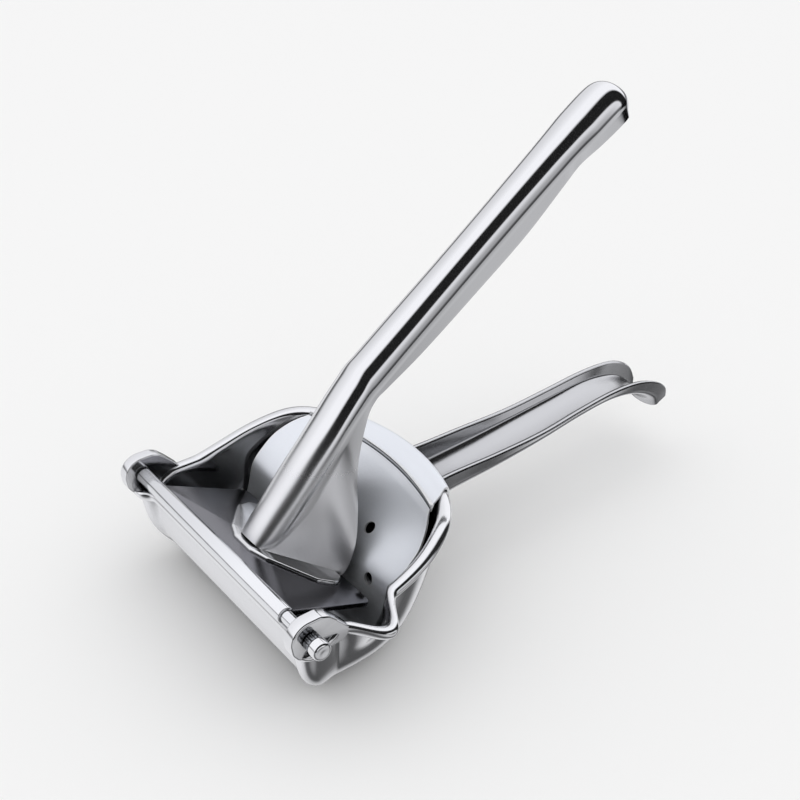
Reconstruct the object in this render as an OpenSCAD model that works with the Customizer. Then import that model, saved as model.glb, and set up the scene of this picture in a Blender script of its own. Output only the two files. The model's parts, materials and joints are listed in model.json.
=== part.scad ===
// Hand fruit press: a cast basin with a handle, a strainer, and a hinged press
// plate on a second handle. Millimetres, +Z up. The origin lies on the middle line
// of the flat base; the hinge runs along X and the handles point to +Y.

/* [Basin] */
// half width of the basin outside, at the rim
basin_half_width = 54; // [53.4:0.1:54.4]
// distance from the hinge axis back to the outside of the rear wall
basin_reach = 79; // [78.6:0.1:79.6]
// height of the hinge axis over the base
hinge_height = 36; // [35.8:0.1:38]
// wall thickness of the casting
wall = 2.6; // [2.2:0.1:2.8]
// how far the pouring lip stands out from the right side wall
lip_reach = 12.5; // [8:0.5:14]

/* [Hinge] */
// distance over the outer faces of the two ears
ear_span = 116; // [115.6:0.2:116.6]
// thickness of an ear
ear_thickness = 5; // [4.8:0.1:5.2]
// radius of the rounded front of an ear
ear_radius = 7; // [6.6:0.1:7.2]
// diameter of the hinge pin
pin_diameter = 4.4; // [4:0.1:4.4]
// radial clearance of the pin in the barrel and the ears
pin_clearance = 0.04; // [0.02:0.01:0.06]
// outer diameter of the hinge barrel
barrel_diameter = 6; // [5.8:0.1:6.2]

/* [Press] */
// slope of the press plate at rest, down from level
plate_slope = 24.4; // [23:0.2:25]
// length of the press plate from the hinge axis
plate_length = 40; // [38:0.5:40.5]
// half width of the press plate at the hinge
plate_half_width = 43; // [41:0.5:43]
// thickness of the press plate
plate_thickness = 2; // [1.6:0.1:2]
// wall thickness of the arm
arm_wall = 2.2; // [1.8:0.1:2.6]

/* [Strainer] */
// sheet thickness of the strainer
sheet = 1; // [0.8:0.1:1.1]
// diameter of a strainer hole
hole_diameter = 4; // [3:0.2:4.4]

/* [Lower handle] */
// distance from the hinge axis to the tip of the lower handle
handle_reach = 218; // [212:1:222]

/* [Hidden] */
$fn = 48;
aluminium = [0.80, 0.81, 0.83];
steel = [0.68, 0.69, 0.71];
dark_steel = [0.45, 0.46, 0.48];

// the hinge axis seen from the origin
hinge_back = 31;
ear_outer = ear_span / 2;
ear_inner = ear_outer - ear_thickness;
bore_radius = pin_diameter / 2 + pin_clearance;
barrel_radius = barrel_diameter / 2;

// ---- helpers ----
function lerp(a, b, t) = a + (b - a) * t;
function clamp01(t) = min(1, max(0, t));

// a smooth curve through key rows, read at t = 0 .. len - 1, entry k
function key(rows, i, k) = rows[min(len(rows) - 1, max(0, i))][k];
function slope_at(rows, i, k) = (key(rows, i + 1, k) - key(rows, i - 1, k)) / 2;
function smooth(rows, t, k) =
  let (i = min(len(rows) - 2, floor(t)), f = t - i)
  let (a = key(rows, i, k), b = key(rows, i + 1, k))
  let (ma = slope_at(rows, i, k), mb = slope_at(rows, i + 1, k))
  (2 * pow(f, 3) - 3 * f * f + 1) * a + (pow(f, 3) - 2 * f * f + f) * ma
  + (3 * f * f - 2 * pow(f, 3)) * b + (pow(f, 3) - f * f) * mb;

// closed solid from a stack of rings with the same number of points
function ring_sides(n, last, flip) = [
  for (i = [0 : last - 1], j = [0 : n - 1])
    let (a = i * n + j, b = i * n + (j + 1) % n)
    each (flip ? [[b + n, b, a], [a + n, b + n, a]] : [[a, b, b + n], [a, b + n, a + n]])
];
// one end of a folded strip: point j faces point n - 1 - j
function strip_end(n, base, up) = [
  for (j = [0 : n / 2 - 2])
    let (a = base + j, b = base + j + 1, c = base + n - 2 - j, d = base + n - 1 - j)
    each (up ? [[a, b, c], [a, c, d]] : [[c, b, a], [d, c, a]])
];

// one end closed by triangles round its middle point
function ring_end(n, base, middle, up) = [
  for (j = [0 : n - 1])
    let (a = base + j, b = base + (j + 1) % n)
    up ? [a, b, middle] : [b, a, middle]
];
function ring_middle(ring) =
  let (front = ring[0], rear = ring[len(ring) / 2])
  (front + rear) / 2;

module ring_solid(rings) {
  n = len(rings[0]);
  last = len(rings) - 1;
  ends = [ring_middle(rings[0]), ring_middle(rings[last])];
  polyhedron(
    points = concat([for (ring = rings) each ring], ends),
    faces = concat(
      ring_sides(n, last, true),
      ring_end(n, 0, (last + 1) * n, true),
      ring_end(n, last * n, (last + 1) * n + 1, false)
    ),
    convexity = 8
  );
}

module strip_solid(rings, flip = false) {
  n = len(rings[0]);
  last = len(rings) - 1;
  polyhedron(
    points = [for (ring = rings) each ring],
    faces = concat(
      ring_sides(n, last, flip),
      strip_end(n, 0, flip),
      strip_end(n, last * n, !flip)
    ),
    convexity = 8
  );
}

module at_hinge() {
  translate([0, -hinge_back, hinge_height])
    children();
}

module at_plate() {
  at_hinge()
    rotate([-plate_slope, 0, 0])
      children();
}

module along_x(from, to, radius) {
  translate([from, 0, 0])
    rotate([0, 90, 0])
      cylinder(h = to - from, r = radius);
}

// ---- basin shape, in the hinge frame ----
// rim height over the hinge axis as it runs back from the front wall
rim_line = [
  [0, -5.6], [4, -5.2], [7, -3.4], [10, -3], [24, -3], [36, 0],
  [50, 4.5], [60, 8], [65, 9], [90, 9]
];
front_face = 1.5;
corner_radius = 4;
rear_start = 30;
lip_middle = 25.5;
lip_front_length = 14;
lip_rear_length = 10.5;
side_steps = 12;
rear_steps = 12;
rear_bunching = 1.4;

// plan sizes at depth fraction u, 0 at the rim and 1 at the base
function plan_half(u) = basin_half_width - 1.5 * u - 12.5 * pow(u, 7);
function plan_front(u) = front_face + 12.5 * pow(u, 4);
function plan_rear(u) = basin_reach - 19 * pow(u, 1.5);
function plan_start(u) = rear_start - 4 * u;
function plan_power(u) = 2.6 - 0.4 * u;
// the lip in plan, 1 at its rounded tip and running out to 0 at both ends
function lip_profile(d) = pow(cos(90 * clamp01(abs(d))), 2);
function lip_bump(y, u) =
  let (side = y < lip_middle ? lip_front_length : lip_rear_length)
  lip_reach * lip_profile((y - lip_middle) / side) * pow(clamp01(1 - u / 0.55), 1.4);

// solid pillar under each ear: it stands out to the side and forward at the rim
pillar_reach = 3.6;
pillar_middle = 2;
pillar_half_length = 12;
pillar_forward = 3.4;
pillar_start = 44;
pillar_blend = 7;
function soft_step(t) = t * t * (3 - 2 * t);
function pillar(y, u) =
  pillar_reach * clamp01(1 - pow((y - pillar_middle) / pillar_half_length, 2)) *
  pow(clamp01(1 - u / 0.95), 0.7);
function forward(x, u) =
  pillar_forward * soft_step(clamp01((x - pillar_start) / pillar_blend)) *
  pow(clamp01(1 - u / 0.9), 0.7);

// half of a plan ring, front centre to rear centre, grown outward by g; lip is 1 on
// the side with the pouring lip and 0 on the plain side. The pillars stand on the
// outside only.
function half_plan(u, g, lip) =
  let (w = plan_half(u) + g, f = plan_front(u) - g, r = plan_rear(u) + g)
  let (s = plan_start(u), p = 2 / plan_power(u), c = corner_radius)
  let (out = g > -1 ? 1 : 0, front_y = f - out * forward(w, u))
  let (corner_y = front_y + c, edge = w - c + out * pillar(front_y, u))
  concat(
    [
      for (t = [0, 0.5, 0.84, 0.88, 0.92, 0.96])
        [t * edge, f - out * forward(t * edge, u)]
    ],
    [
      for (a = [0 : 30 : 90])
        let (y = corner_y - c * cos(a))
        [w - c + c * sin(a) + out * pillar(y, u), y]
    ],
    [
      for (j = [1 : side_steps])
        let (y = lerp(corner_y, s, j / side_steps))
        [w + lip * lip_bump(y, u) + out * pillar(y, u), y]
    ],
    [
      for (j = [1 : rear_steps])
        let (a = 90 * pow(j / rear_steps, rear_bunching))
        let (y = s + (r - s) * pow(sin(a), p))
        [w * pow(max(0, cos(a)), p) + lip * lip_bump(y, u), y]
    ]
  );
function full_plan(u, g) =
  let (right = half_plan(u, g, 1), left = half_plan(u, g, 0))
  concat(right, [for (i = [len(left) - 2 : -1 : 1]) [-left[i][0], left[i][1]]]);

// one ring of the basin wall; raise lifts it over the rim line
function basin_ring(u, g, floor_z, raise) =
  let (plan = full_plan(u, g), rim = full_plan(0, 0))
  [
    for (i = [0 : len(plan) - 1])
      [plan[i][0], plan[i][1], lerp(lookup(rim[i][1], rim_line), floor_z, u) + raise]
  ];
depths = [1, 0.97, 0.93, 0.88, 0.8, 0.7, 0.58, 0.44, 0.3, 0.18, 0.09];
inner_depths = [0.06, 0.16, 0.28, 0.42, 0.56, 0.7, 0.8, 0.88, 0.94, 1];
base_z = -hinge_height;
// cross-section of the rounded rim: how far out, and how high
rim_roll = [[1.7, -2.5], [2.4, -1], [2, 0.3], [0.5, 0.85], [-1.5, 0.7], [-2.6, -0.4]];
outer_rings = [for (u = depths) basin_ring(u, 0, base_z, 0)];
rim_rings = [for (p = rim_roll) basin_ring(0, p[0], base_z, p[1])];
inner_rings = [for (u = inner_depths) basin_ring(u, -wall, base_z + wall, 0)];

module basin_shell() {
  ring_solid(concat(outer_rings, rim_rings, inner_rings));
}

// the hollow of the basin, open well above the rim
module basin_hollow() {
  lid = [for (p = basin_ring(0.6, -wall, base_z, 0)) [p[0], p[1], 20]];
  ring_solid(concat([for (i = [len(inner_rings) - 1 : -1 : 0]) inner_rings[i]], [lid]));
}

// ---- channel sections shared by both handles ----
// A row is [crown y, crown z, edge y, edge z, crown half width, edge half width,
// crown depth]: the crown is the closed side, the edges are the open side.
arc_steps = 7;
function channel_half(row, t) =
  let (dy = row[2] - row[0], dz = row[3] - row[1])
  let (len_side = max(0.01, sqrt(dy * dy + dz * dz)), ny = dy / len_side, nz = dz / len_side)
  let (w = row[4] - t, deep = max(0.3, min(row[6], len_side * 0.9) - t))
  concat(
    [
      for (i = [0 : arc_steps])
        let (a = 90 * i / arc_steps, h = t + deep * (1 - cos(a)))
        [w * sin(a), row[0] + ny * h, row[1] + nz * h]
    ],
    [
      for (f = [0.5, 1])
        let (h = lerp(t + deep, len_side, f))
        [lerp(w, row[5] - t, f), row[0] + ny * h, row[1] + nz * h]
    ]
  );
function channel_ring(row, t) =
  let (out = channel_half(row, 0), inn = channel_half(row, t), n = len(out) - 1)
  concat(
    [for (i = [n : -1 : 0]) out[i]],
    [for (i = [1 : n]) [-out[i][0], out[i][1], out[i][2]]],
    [for (i = [n : -1 : 1]) [-inn[i][0], inn[i][1], inn[i][2]]],
    [for (i = [0 : n]) inn[i]]
  );
function smooth_row(rows, t) = [for (k = [0 : 6]) smooth(rows, t, k)];
module channel(rows, t, steps, flip) {
  spans = len(rows) - 1;
  rings = [for (i = [0 : steps]) channel_ring(smooth_row(rows, spans * i / steps), t)];
  strip_solid(rings, flip);
}

// lower handle, root to curled tip, in the hinge frame; crown below, edges above
h = handle_reach;
handle_rows = [
  [50, -24, 66, -3, 21, 24, 9],
  [63, -23, 73, -3.2, 17.5, 20, 9],
  [76, -19.5, 80, -3.3, 14.5, 16, 8],
  [92, -15.8, 93, -3.3, 12, 12.8, 7],
  [h - 98, -13.4, h - 98, -3.6, 11.4, 12.6, 6],
  [h - 74, -10.6, h - 74, -3.4, 10.8, 12, 5],
  [h - 52, -7.6, h - 52, -1.2, 10, 11.2, 4.5],
  [h - 36, -5.8, h - 34, 0.4, 9.8, 11, 4],
  [h - 24, -6.8, h - 20, 0, 9.8, 11.2, 4],
  [h - 14.5, -9.8, h - 10, -2.4, 10, 11.8, 3.8],
  [h - 7, -14.6, h - 2.5, -7, 9.8, 11.8, 3.6],
  [h - 3.4, -19.6, h, -12.8, 9, 10.8, 3.4]
];

// press arm, from its foot on the plate to the tip, in the hinge frame; crown
// on top, edges below: the first rows flare down on to the plate
arm_rows = [
  [12.5, -2.2, 15, -5.4, 6.5, 7.6, 3],
  [16, 2.2, 21, -8.2, 8.2, 12, 6],
  [23, 10.2, 28.5, -11.6, 9, 17.5, 8],
  [32, 20.6, 36, -15, 9.4, 23.3, 9],
  [37.5, 26.8, 41.4, -5.5, 9.4, 24, 9],
  [43, 33, 45.6, 4, 9.4, 20.4, 9],
  [49, 40, 51.2, 19.2, 9.3, 12.8, 8.5],
  [55, 46.7, 57.3, 34.9, 9.2, 9.8, 8],
  [58.8, 50.9, 61.4, 41.6, 9.2, 9.5, 8],
  [63, 54.1, 66.6, 45, 9.1, 9.5, 8],
  [76, 63.8, 82, 54.4, 8.9, 9.6, 7.5],
  [98, 80.2, 105.1, 69.9, 8.6, 9.2, 7.5],
  [120, 96.8, 127.5, 86.1, 8.6, 9.2, 7.5],
  [139, 111.2, 145.2, 101.8, 8.9, 9.3, 7.5],
  [147.5, 117.6, 152.4, 107.8, 9.2, 9.2, 7.5],
  [156, 124, 162.3, 113.9, 9.8, 10.2, 8],
  [168, 131.6, 173.2, 120.4, 9.4, 10.1, 8],
  [175, 130.6, 177, 121.4, 7.2, 6.6, 6],
  [178.6, 126, 178.8, 123.4, 4, 3.6, 2]
];

// ---- lower body ----
module ear_shape() {
  circle(r = ear_radius);
  polygon([
    [-ear_radius, 0], [-6.4, -4], [-4, -7.5], [13, -7.5], [15.5, -5],
    [15.5, -2.5], [10.5, 3], [7.5, 5.8], [4.6, ear_radius], [0, ear_radius]
  ]);
}

module ear() {
  translate([ear_inner, 0, 0])
    rotate([90, 0, 90])
      linear_extrude(height = ear_thickness)
        ear_shape();
}

module lower_body() {
  color(aluminium)
    at_hinge()
      difference() {
        union() {
          difference() {
            union() {
              channel(handle_rows, wall, 30, true);
              ear();
              mirror([1, 0, 0])
                ear();
            }
            basin_hollow();
          }
          basin_shell();
        }
        along_x(-ear_outer - 1, ear_outer + 1, bore_radius);
      }
}

// ---- strainer ----
// A row is [y, z, half width, bulge back at the middle, raised side edge].
strainer_rows = [
  [7.5, -11, 44.5, 0, 2],
  [13, -15.6, 45.2, 0, 2],
  [20, -21.5, 45.5, 0, 2],
  [26.5, -26.9, 44.6, 0, 2],
  [31, -29.4, 44, 0, 2],
  [36, -27.6, 44, 0, 2],
  [40, -19.5, 45.2, 0.6, 1.8],
  [42.8, -10, 45.8, 1.4, 1.5],
  [47.6, -4, 45.8, 2.4, 1.2],
  [53.2, 1.2, 45.2, 3.6, 0.8],
  [58.8, 6.4, 42, 5, 0.3],
  [63.6, 10.4, 37.6, 6.4, 0],
  [66.4, 11, 36.4, 6.8, 0],
  [71, 11, 34.2, 6.6, 0],
  [75.6, 11, 31.6, 6.2, 0],
  [77.6, 10, 31.6, 6.2, 0],
  [77.9, 5.4, 31.6, 6.2, 0]
];
across = 14;
function sheet_normal(i) =
  let (a = strainer_rows[max(0, i - 1)], b = strainer_rows[min(len(strainer_rows) - 1, i + 1)])
  let (dy = b[0] - a[0], dz = b[1] - a[1], d = sqrt(dy * dy + dz * dz))
  [dz / d, -dy / d];
function sheet_ring(i) =
  let (row = strainer_rows[i], nrm = sheet_normal(i))
  [
    for (side = [0, 1], j = [0 : across])
      let (s = (side == 0 ? -1 : 1) * lerp(1, -1, j / across), depth = side * sheet)
      [
        s * row[2],
        row[0] + row[3] * (1 - s * s) + nrm[0] * depth,
        row[1] + row[4] * pow(s, 8) + nrm[1] * depth
      ]
  ];

floor_angle = 39.6;
hole_columns = 5;
hole_rows = 4;
hole_pitch_x = 14;
hole_pitch_y = 7.2;
module floor_holes() {
  for (row = [0 : hole_rows - 1], col = [-hole_columns : hole_columns])
    if ((col + hole_columns + row) % 2 == 0)
      rotate([-floor_angle, 0, 0])
        translate([col * hole_pitch_x / 2, 14 + row * hole_pitch_y, -8])
          cylinder(h = 8, d = hole_diameter);
}

// drain holes on the rear slope, drilled square to the sheet: [x, y, z, slope]
slope_hole_places = [[20, 51, -2.5, 42.9], [31.5, 42.1, -14, 73.6]];
slope_hole_extra = 0.6;
module slope_holes() {
  for (p = slope_hole_places, side = [-1, 1])
    translate([side * p[0], p[1], p[2]])
      rotate([p[3], 0, 0])
        cylinder(h = 10, d = hole_diameter + slope_hole_extra, center = true);
}

module strainer() {
  color(steel)
    at_hinge()
      difference() {
        strip_solid([for (i = [0 : len(strainer_rows) - 1]) sheet_ring(i)], true);
        floor_holes();
        slope_holes();
      }
}

// ---- press ----
plate_far_half = plate_half_width - 2.4;
plate_corner = 3;
barrel_from = -ear_inner + 0.8;
barrel_to = 44;
pad_thickness = 1.2;
plate_top = plate_thickness / 2;
rivet_places = [[-5, 23], [5, 23], [-9, 31], [9, 31]];
rivet_diameter = 3;
rivet_head = 5;
rivet_head_height = 1;
arm_floor = 1.4;

module plate_shape() {
  polygon([
    [-plate_half_width, 0], [plate_half_width, 0],
    [plate_far_half, plate_length - plate_corner],
    [plate_far_half - plate_corner, plate_length],
    [-plate_far_half + plate_corner, plate_length],
    [-plate_far_half, plate_length - plate_corner]
  ]);
}

module press_plate() {
  color(dark_steel)
    at_plate()
      difference() {
        union() {
          translate([0, 0, -plate_top])
            linear_extrude(height = plate_thickness)
              plate_shape();
          along_x(barrel_from, barrel_to, barrel_radius);
        }
        along_x(barrel_from - 1, barrel_to + 1, bore_radius);
        rivet_holes(-plate_top - 1, plate_top + 1);
      }
}

module rivet_holes(from, to) {
  for (p = rivet_places)
    translate([p[0], p[1], from])
      cylinder(h = to - from, d = rivet_diameter);
}

// flat pad that follows the flared foot
module pad_shape() {
  polygon([
    [-5, 10.4], [5, 10.4], [12, 13.6], [27, 26], [29.4, 33], [25.6, 37.6],
    [-25.6, 37.6], [-29.4, 33], [-27, 26], [-12, 13.6]
  ]);
}

module foot_pad() {
  color(aluminium)
    at_plate()
      difference() {
        translate([0, 0, plate_top])
          linear_extrude(height = pad_thickness)
            pad_shape();
        rivet_holes(plate_top - 1, plate_top + pad_thickness + 1);
      }
}

pad_top = plate_top + pad_thickness;

// floor web inside the flared foot, riveted down on the pad
module arm_foot() {
  translate([0, 0, pad_top])
    linear_extrude(height = arm_floor)
      polygon([
        [-6, 13.6], [6, 13.6], [11, 18.5], [16, 26], [17.5, 33], [-17.5, 33],
        [-16, 26], [-11, 18.5]
      ]);
}

module press_arm() {
  color(aluminium)
    union() {
      difference() {
        at_hinge()
          channel(arm_rows, arm_wall, 60, false);
        at_plate()
          translate([-60, 0, -40 + pad_top])
            cube([120, 60, 40]);
      }
      difference() {
        at_plate()
          arm_foot();
        at_plate()
          rivet_holes(pad_top - 1, pad_top + arm_floor + 1);
      }
    }
}

module foot_rivets() {
  stack_top = pad_top + arm_floor;
  color(steel)
    at_plate()
      for (p = rivet_places)
        translate([p[0], p[1], 0]) {
          translate([0, 0, -plate_top])
            cylinder(h = stack_top + plate_top, d = rivet_diameter);
          translate([0, 0, stack_top])
            cylinder(h = rivet_head_height, d1 = rivet_head, d2 = rivet_diameter);
        }
}

// ---- hinge pin and its end ----
ring_width = 3.2;
ring_gap = 0.3;
ring_from = ear_outer + ring_gap;
ring_to = ring_from + ring_width;
cap_to = ring_to + 4;
pin_from = -ear_outer;
pin_to = cap_to - 1.5;
ring_radius = 3.2;
groove_depth = 0.45;
groove_count = 12;
cap_radius = 3.4;

module hinge_pin() {
  color(steel)
    at_hinge()
      along_x(pin_from, pin_to, pin_diameter / 2);
}

module pin_ring() {
  color(dark_steel)
    at_hinge()
      difference() {
        along_x(ring_from, ring_to, ring_radius);
        along_x(ring_from - 1, ring_to + 1, pin_diameter / 2);
        for (i = [0 : groove_count - 1])
          rotate([i * 360 / groove_count, 0, 0])
            translate([0, ring_radius + 0.1, 0])
              along_x(ring_from - 1, ring_to + 1, groove_depth);
      }
}

module pin_cap() {
  round = 1.4;
  color(aluminium)
    at_hinge()
      difference() {
        translate([ring_to, 0, 0])
          rotate([0, 90, 0])
            rotate_extrude()
              union() {
                square([cap_radius - round, cap_to - ring_to]);
                square([cap_radius, cap_to - ring_to - round]);
                translate([cap_radius - round, cap_to - ring_to - round])
                  circle(r = round);
              }
        along_x(ring_to - 1, pin_to, pin_diameter / 2);
      }
}

lower_body();
strainer();
press_plate();
foot_pad();
press_arm();
foot_rivets();
hinge_pin();
pin_ring();
pin_cap();
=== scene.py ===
"""Looks of the hand fruit press: polished cast aluminium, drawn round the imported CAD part.

Lengths in the shape code are millimetres in the hinge frame: X along the pin, Y back to
the handle tips, Z up, with the hinge axis at y = 0, z = 0. row() turns them into the
row frame in metres.
"""

import json
import math

import bmesh
import bpy
import numpy as np
from mathutils import Matrix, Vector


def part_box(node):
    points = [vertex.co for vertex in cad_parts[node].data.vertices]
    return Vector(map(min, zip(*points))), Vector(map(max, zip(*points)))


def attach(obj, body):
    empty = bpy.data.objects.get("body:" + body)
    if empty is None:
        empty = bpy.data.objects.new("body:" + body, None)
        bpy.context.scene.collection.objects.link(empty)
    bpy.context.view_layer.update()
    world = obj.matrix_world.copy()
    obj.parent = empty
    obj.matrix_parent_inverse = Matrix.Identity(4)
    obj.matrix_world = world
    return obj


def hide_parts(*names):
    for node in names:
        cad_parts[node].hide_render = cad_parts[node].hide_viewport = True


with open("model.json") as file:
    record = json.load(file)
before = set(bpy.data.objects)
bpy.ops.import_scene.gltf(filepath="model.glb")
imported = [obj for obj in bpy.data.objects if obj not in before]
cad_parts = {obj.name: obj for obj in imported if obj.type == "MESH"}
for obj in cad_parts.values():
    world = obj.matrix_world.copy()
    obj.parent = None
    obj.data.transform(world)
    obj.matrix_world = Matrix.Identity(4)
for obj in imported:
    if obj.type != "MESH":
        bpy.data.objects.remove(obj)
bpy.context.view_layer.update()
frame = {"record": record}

MM = 0.001
JOINTS = {joint["name"]: joint for joint in frame["record"]["behaviour"]["joints"]}
HINGE = np.array(JOINTS["press_hinge"]["pos_m"])
X, Y, Z = 0, 1, 2


def row(points):
    """Hinge frame in millimetres to row frame in metres."""
    return np.asarray(points, float) * MM + HINGE


def span(node, axis):
    """Where a CAD node starts and ends along one axis, in the hinge frame, to 0.001 mm."""
    return [round((end[axis] - HINGE[axis]) / MM, 3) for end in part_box(node)]


PIN_FROM, PIN_TO = span("hinge_pin", X)
RING_FROM, RING_TO = span("pin_ring", X)
CAP_TO = span("pin_cap", X)[1]
BARREL_FROM, BARREL_TO = span("press_plate", X)
HANDLE_TIP = span("lower_body", Y)[1]
HINGE_HEIGHT = HINGE[Z] / MM


# ---------------------------------------------------------------- mesh helpers
WELD = 1e-7
HOLE_SHARP_ANGLE = 40


def mesh_from(name, verts, faces):
    """Closed mesh in the row frame with its normals pointing out."""
    mesh = bpy.data.meshes.new(name)
    mesh.from_pydata([tuple(v) for v in row(verts)], [], faces)
    mesh.update()
    bm = bmesh.new()
    bm.from_mesh(mesh)
    bmesh.ops.remove_doubles(bm, verts=bm.verts, dist=WELD)
    bmesh.ops.recalc_face_normals(bm, faces=bm.faces)
    bm.to_mesh(mesh)
    bm.free()
    return mesh


def make_piece(name, shape, body, node, material, smooth_angle):
    """Smooth piece from (verts, faces) that rides on a body and stands in for a CAD node."""
    mesh = mesh_from(name, *shape)
    for polygon in mesh.polygons:
        polygon.use_smooth = True
    mesh.set_sharp_from_angle(angle=math.radians(smooth_angle))
    mesh.materials.append(material)
    obj = bpy.data.objects.new(name, mesh)
    bpy.context.scene.collection.objects.link(obj)
    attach(obj, body)
    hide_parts(node)
    return obj


def drill(obj, shape):
    """Cut holes; shape is the (verts, faces) of the cutters."""
    cutter = bpy.data.objects.new("cutter", mesh_from("cutter", *shape))
    bpy.context.scene.collection.objects.link(cutter)
    cut = obj.modifiers.new("holes", "BOOLEAN")
    cut.operation = "DIFFERENCE"
    cut.object = cutter
    cut.solver = "EXACT"
    graph = bpy.context.evaluated_depsgraph_get()
    mesh = bpy.data.meshes.new_from_object(obj.evaluated_get(graph), depsgraph=graph)
    obj.modifiers.clear()
    obj.data = mesh
    cutter_mesh = cutter.data
    bpy.data.objects.remove(cutter)
    bpy.data.meshes.remove(cutter_mesh)
    mesh.set_sharp_from_angle(angle=math.radians(HOLE_SHARP_ANGLE))


def ring_faces(count, n):
    """Quads between neighbouring rings of n points each."""
    return [
        (i * n + j, i * n + (j + 1) % n, (i + 1) * n + (j + 1) % n, (i + 1) * n + j)
        for i in range(count - 1)
        for j in range(n)
    ]


def stack(rings, strip_ends=False):
    """Closed solid from a stack of rings: each end is closed round its middle point, or as
    a folded strip whose point j faces point n - 1 - j."""
    rings = [np.asarray(ring, float) for ring in rings]
    n = len(rings[0])
    verts = [point for ring in rings for point in ring]
    faces = ring_faces(len(rings), n)
    for base, ring in ((0, rings[0]), ((len(rings) - 1) * n, rings[-1])):
        if strip_ends:
            faces += [
                (base + j, base + j + 1, base + n - 2 - j, base + n - 1 - j)
                for j in range(n // 2 - 1)
            ]
        else:
            verts.append(ring.mean(axis=0))
            faces += [(base + j, base + (j + 1) % n, len(verts) - 1) for j in range(n)]
    return verts, faces


def curve_through(keys, t):
    """Smooth curve through key rows, read at t = 0 .. len(keys) - 1."""
    keys = np.asarray(keys, float)
    last = len(keys) - 1
    i = min(last - 1, int(math.floor(t)))
    f = t - i
    slope_here = (keys[i + 1] - keys[max(0, i - 1)]) / 2
    slope_next = (keys[min(last, i + 2)] - keys[i]) / 2
    return (
        (2 * f**3 - 3 * f**2 + 1) * keys[i]
        + (f**3 - 2 * f**2 + f) * slope_here
        + (3 * f**2 - 2 * f**3) * keys[i + 1]
        + (f**3 - f**2) * slope_next
    )


def rounded_lookup(x, table, reach=2.5):
    """Value read from a key table, rounded over its corners."""
    xs, ys = zip(*table)
    return float(np.mean(np.interp(x + np.linspace(-reach, reach, 11), xs, ys)))


def clamp01(t):
    return min(1.0, max(0.0, t))


def fillet(points, radius, steps=6):
    """Closed outline with its corners rounded, steps + 1 points to each corner."""
    points = [np.array(point, float) for point in points]
    out = []
    for i, here in enumerate(points):
        before, after = points[i - 1] - here, points[(i + 1) % len(points)] - here
        room = 0.45 * min(np.linalg.norm(before), np.linalg.norm(after))
        before, after = before / np.linalg.norm(before), after / np.linalg.norm(after)
        half = math.acos(max(-1, min(1, float(before @ after)))) / 2
        reach = min(radius / max(1e-6, math.tan(half)), room)
        start, end = here + before * reach, here + after * reach
        for t in np.linspace(0, 1, steps + 1):
            out.append((1 - t) ** 2 * start + 2 * t * (1 - t) * here + t * t * end)
    return np.array(out)


def inset(points, distance):
    """Closed outline moved inwards by the given distance."""
    behind, ahead = np.roll(points, 1, axis=0), np.roll(points, -1, axis=0)
    turned = np.sum(behind[:, 0] * points[:, 1] - points[:, 0] * behind[:, 1])
    sign = 1 if turned > 0 else -1
    normals = []
    for edge in (points - behind, ahead - points):
        edge = edge / np.maximum(1e-9, np.linalg.norm(edge, axis=1))[:, None]
        normals.append(np.stack([-edge[:, 1], edge[:, 0]], axis=1) * sign)
    middle = normals[0] + normals[1]
    middle /= np.maximum(1e-9, np.linalg.norm(middle, axis=1))[:, None]
    stretch = np.maximum(0.5, (middle * normals[0]).sum(axis=1))
    return points + middle * (distance / stretch)[:, None]


def rounded_prism(outline, low, high, low_edge, high_edge, place):
    """Outline pushed from low to high, with quarter-round edges; place maps (a, b, h)."""
    quarter = np.linspace(0, math.pi / 2, 6)
    rings = []
    for edge, level, sign, angles in (
        (low_edge, low, 1, quarter), (high_edge, high, -1, quarter[::-1]),
    ):
        for a in angles:
            h = level + sign * edge * (1 - math.cos(a))
            rings.append([place(p[0], p[1], h) for p in inset(outline, edge * (1 - math.sin(a)))])
    return stack(rings)


def circle_x(x, radius, segments, flute_depth=0):
    """Ring of points about the hinge axis; flutes are rounded grooves cut into it."""
    out = []
    for a in np.linspace(0, 2 * math.pi, segments + 1)[:-1]:
        r = radius - flute_depth * max(0.0, math.cos(FLUTE_COUNT * a)) ** 3
        out.append((x, r * math.cos(a), r * math.sin(a)))
    return out


def turned_x(profile, segments=64):
    """Closed solid of revolution about the hinge axis; profile is (x, radius) end to end."""
    return stack([circle_x(x, radius, segments) for x, radius in profile])


def tube_x(profile, segments=64, fluted=False):
    """Closed tube about the hinge axis; profile is a closed loop of (x, radius)."""
    rings = [
        circle_x(x, r, segments, FLUTE_DEPTH if fluted and r > PIN_RADIUS else 0)
        for x, r in profile
    ]
    verts = [point for ring in rings for point in ring]
    return verts, ring_faces(len(rings), segments) + [
        (len(verts) - segments + k, len(verts) - segments + (k + 1) % segments,
         (k + 1) % segments, k)
        for k in range(segments)
    ]


# ---------------------------------------------------------------- shader helpers
def add_node(tree, kind, inputs=None, **settings):
    """New shader node; each input is a plain value or another node's output."""
    made = tree.nodes.new("ShaderNode" + kind)
    for name, value in settings.items():
        setattr(made, name, value)
    for name, value in (inputs or {}).items():
        if isinstance(value, bpy.types.NodeSocket):
            tree.links.new(value, made.inputs[name])
        else:
            made.inputs[name].default_value = value
    return made


def map_range(tree, value, source=(0, 1), target=(0, 1), blend="LINEAR"):
    """Value moved from the source range to the target range."""
    made = add_node(tree, "MapRange", {
        "Value": value, "From Min": source[0], "From Max": source[1],
        "To Min": target[0], "To Max": target[1],
    }, interpolation_type=blend)
    return made.outputs["Result"]


def mix_colors(tree, a, b, factor=1, blend="MIX"):
    """Two colours mixed or multiplied."""
    inputs = {"Factor": factor, "A": a, "B": b}
    return add_node(tree, "Mix", inputs, data_type="RGBA", blend_type=blend).outputs["Result"]


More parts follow.
